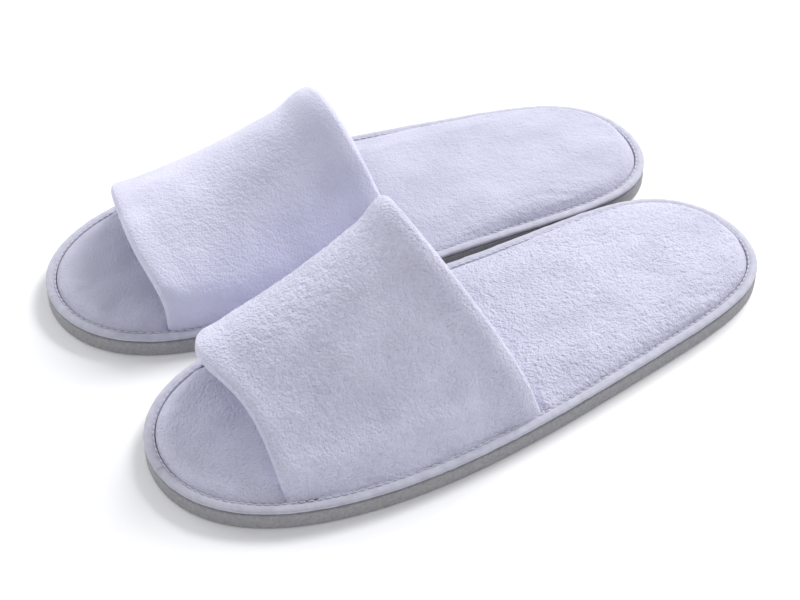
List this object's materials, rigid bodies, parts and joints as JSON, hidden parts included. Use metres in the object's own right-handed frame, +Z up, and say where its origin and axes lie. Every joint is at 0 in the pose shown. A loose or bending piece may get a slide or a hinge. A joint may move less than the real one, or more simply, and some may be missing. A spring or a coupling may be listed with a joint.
{
  "type": "spa slippers",
  "caption": "Pair of open-toe spa slippers: padded fleece strap over a crowned fleece insole, bound edge and thin grey foam outsole.",
  "frame": {"origin": "on the floor, in the middle of the pair's outline", "axes": "+Z up, toes towards -Y, +X towards the left slipper"},
  "size_m": [0.2202, 0.2844, 0.0818],
  "materials": {
    "strap_fleece": "white short-pile coral fleece",
    "insole_fleece": "white short-pile coral fleece, padded",
    "lining_fleece": "white short-pile fleece lining",
    "binding_cloth": "smooth white folded binding tape",
    "thread": "white sewing thread",
    "inner_foam": "soft open-cell foam and wadding",
    "insole_backing": "stiff non-woven sheet",
    "outsole_foam": "matte grey EVA foam"
  },
  "bodies": {
    "left_forefoot": {"left_outsole_front": "outsole_foam", "left_insole_backing_front": "insole_backing", "left_insole_foam_front": "inner_foam", "left_insole_cover_front": "insole_fleece", "left_edge_binding_front": "binding_cloth", "left_binding_seam_front": "thread", "left_upper_outer": "strap_fleece", "left_upper_wadding": "inner_foam", "left_upper_lining": "lining_fleece", "left_toe_hem_seam": "thread", "left_instep_hem_seam": "thread"},
    "left_heel": {"left_outsole_heel": "outsole_foam", "left_insole_backing_heel": "insole_backing", "left_insole_foam_heel": "inner_foam", "left_insole_cover_heel": "insole_fleece", "left_edge_binding_heel": "binding_cloth", "left_binding_seam_heel": "thread"},
    "right_forefoot": {"right_outsole_front": "outsole_foam", "right_insole_backing_front": "insole_backing", "right_insole_foam_front": "inner_foam", "right_insole_cover_front": "insole_fleece", "right_edge_binding_front": "binding_cloth", "right_binding_seam_front": "thread", "right_upper_outer": "strap_fleece", "right_upper_wadding": "inner_foam", "right_upper_lining": "lining_fleece", "right_toe_hem_seam": "thread", "right_instep_hem_seam": "thread"},
    "right_heel": {"right_outsole_heel": "outsole_foam", "right_insole_backing_heel": "insole_backing", "right_insole_foam_heel": "inner_foam", "right_insole_cover_heel": "insole_fleece", "right_edge_binding_heel": "binding_cloth", "right_binding_seam_heel": "thread"}
  },
  "joints": [
    {"name": "left_heel_flex", "type": "hinge", "parent": "left_forefoot", "child": "left_heel", "pos_m": [0.0479, 0.016, 0.0136], "axis": [0.9982, 0.0595, 0], "range_deg": [0, 60], "stiffness_Nm_per_rad": 0.12},
    {"name": "right_slipper_lift", "type": "slide", "parent": "left_forefoot", "child": "right_forefoot", "axis": [0, 0, 1], "range_m": [0, 0.12]},
    {"name": "right_heel_flex", "type": "hinge", "parent": "right_forefoot", "child": "right_heel", "pos_m": [-0.0479, 0.016, 0.0136], "axis": [0.9982, -0.0595, 0], "range_deg": [0, 60], "stiffness_Nm_per_rad": 0.12}
  ]
}
